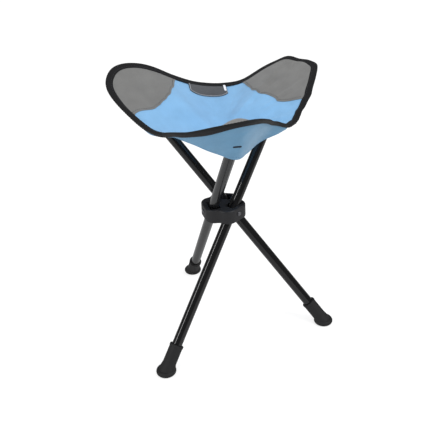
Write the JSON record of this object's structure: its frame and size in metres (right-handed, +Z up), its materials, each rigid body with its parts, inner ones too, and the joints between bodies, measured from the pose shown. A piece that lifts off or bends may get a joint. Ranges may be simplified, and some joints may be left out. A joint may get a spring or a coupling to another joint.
{
  "type": "folding camp stool",
  "caption": "Folding tripod camp stool: straight tube legs crossing at a moulded hub, with a slung three-cornered fabric seat.",
  "frame": {"origin": "centre of the open stool's bounding box, on the floor", "axes": "+Z up; -Y towards the front corner of the seat, +X to the sitter's left"},
  "size_m": [0.3273, 0.3415, 0.4283],
  "materials": {
    "hub_plastic": "satin moulded charcoal nylon",
    "pin_steel": "bright plated steel",
    "leg_paint": "gloss black powder coat",
    "foot_rubber": "matt black",
    "plug_plastic": "matt black, hidden in the pockets",
    "pocket_fabric": "woven polyester, mid blue",
    "patch_fabric": "woven polyester, grey",
    "seat_fabric": "woven polyester, light blue",
    "binding_tape": "woven tape, charcoal",
    "label_fabric": "woven label, blank",
    "tag_fabric": "woven tag, blank"
  },
  "bodies": {
    "hub": {"hub_body": "hub_plastic", "pivot_pin_a": "pin_steel", "pivot_pin_b": "pin_steel", "pivot_pin_c": "pin_steel", "seat_panel": "seat_fabric", "edge_binding": "binding_tape", "seat_label": "label_fabric", "side_tag": "tag_fabric", "corner_patch_a": "patch_fabric", "corner_patch_b": "patch_fabric", "corner_patch_c": "patch_fabric"},
    "leg_a": {"leg_tube_a": "leg_paint", "foot_a": "foot_rubber", "top_plug_a": "plug_plastic", "corner_pocket_a": "pocket_fabric"},
    "leg_b": {"leg_tube_b": "leg_paint", "foot_b": "foot_rubber", "top_plug_b": "plug_plastic", "corner_pocket_b": "pocket_fabric"},
    "leg_c": {"leg_tube_c": "leg_paint", "foot_c": "foot_rubber", "top_plug_c": "plug_plastic", "corner_pocket_c": "pocket_fabric"}
  },
  "joints": [
    {"name": "leg_a_fold", "type": "hinge", "parent": "hub", "child": "leg_a", "pos_m": [-0.00049, 0.01309, 0.2162], "axis": [0.3917, 0.9201, 0], "range_deg": [0, 37.33], "deforming": ["corner_pocket_a", "corner_patch_a", "seat_panel", "edge_binding", "seat_label", "side_tag"]},
    {"name": "leg_b_fold", "type": "hinge", "parent": "hub", "child": "leg_b", "pos_m": [0.00322, -0.01738, 0.2162], "axis": [0.601, -0.7993, 0], "range_deg": [0, 37.33], "deforming": ["corner_pocket_b", "corner_patch_b"]},
    {"name": "leg_c_fold", "type": "hinge", "parent": "hub", "child": "leg_c", "pos_m": [-0.02502, -0.00536, 0.2162], "axis": [-0.9927, -0.1208, 0], "range_deg": [0, 37.33], "deforming": ["corner_pocket_c", "corner_patch_c"]}
  ],
  "couplings": [
    {"joint": "leg_b_fold", "follows": "leg_a_fold", "ratio": 1},
    {"joint": "leg_c_fold", "follows": "leg_a_fold", "ratio": 1}
  ]
}
